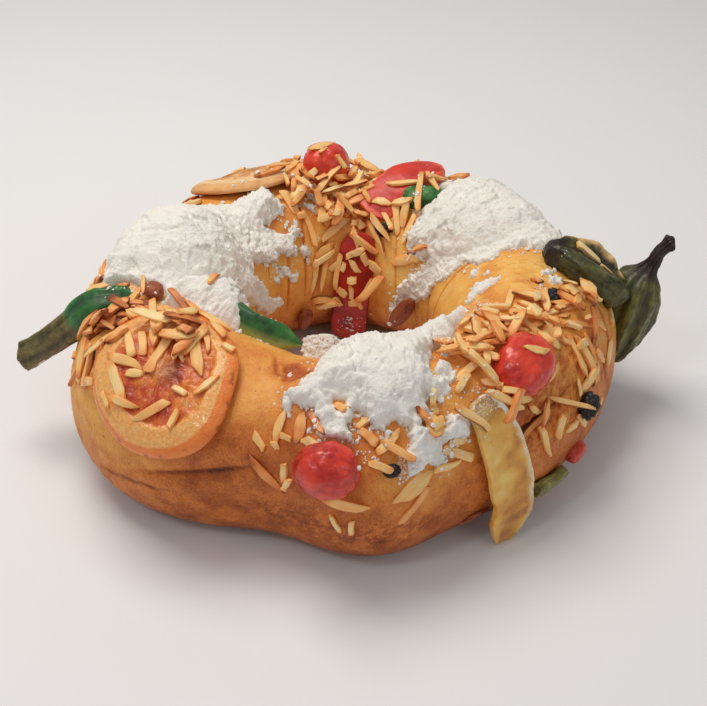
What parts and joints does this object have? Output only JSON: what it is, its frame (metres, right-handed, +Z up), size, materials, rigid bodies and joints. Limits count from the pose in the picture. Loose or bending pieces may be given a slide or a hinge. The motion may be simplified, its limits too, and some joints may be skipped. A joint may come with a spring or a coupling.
{
  "type": "ring cake",
  "caption": "Ring-shaped sweet bread topped with candied fruit, slivered almonds and heaps of icing sugar.",
  "frame": {"origin": "middle of the object's footprint, on the surface that it rests on", "axes": "+Z up through the hole of the ring; -Y is the side nearest the viewer of the picture; +X to that viewer's right"},
  "size_m": [0.3026, 0.2594, 0.0941],
  "materials": {
    "crust": "baked, slightly shiny",
    "icing_sugar": "matte powder",
    "candied_orange": "sticky gloss",
    "candied_cherry": "sticky gloss",
    "candied_pumpkin": "sticky gloss",
    "candied_green": "sticky gloss",
    "candied_fig": "waxy gloss",
    "candied_citron": "sticky gloss",
    "almond_skin": "satin",
    "raisin": "wrinkled satin"
  },
  "bodies": {
    "root": {"bread": "crust", "orange_slice_front": "candied_orange", "orange_slice_back": "candied_orange", "sugar_left": "icing_sugar", "sugar_right": "icing_sugar", "sugar_front": "icing_sugar", "sugared_chunk": "icing_sugar", "cherry_front": "candied_cherry", "cherry_right": "candied_cherry", "cherry_back": "candied_cherry", "cherry_left": "candied_cherry", "red_slab": "candied_pumpkin", "red_strip": "candied_pumpkin", "red_dice": "candied_pumpkin", "green_strip": "candied_green", "green_pear": "candied_green", "green_chunk": "candied_green", "fig_half": "candied_fig", "fig_whole": "candied_fig", "green_rind": "candied_fig", "citron_strip": "candied_citron", "raisin_right": "raisin", "raisin_shoulder": "raisin", "raisin_left": "raisin", "raisin_hollow": "raisin", "raisin_front": "raisin", "brown_almond_crest": "almond_skin", "brown_almond_low": "almond_skin", "brown_almond_edge": "almond_skin", "almond_inner_right": "almond_skin", "almond_inner_left": "almond_skin"}
  },
  "joints": []
}
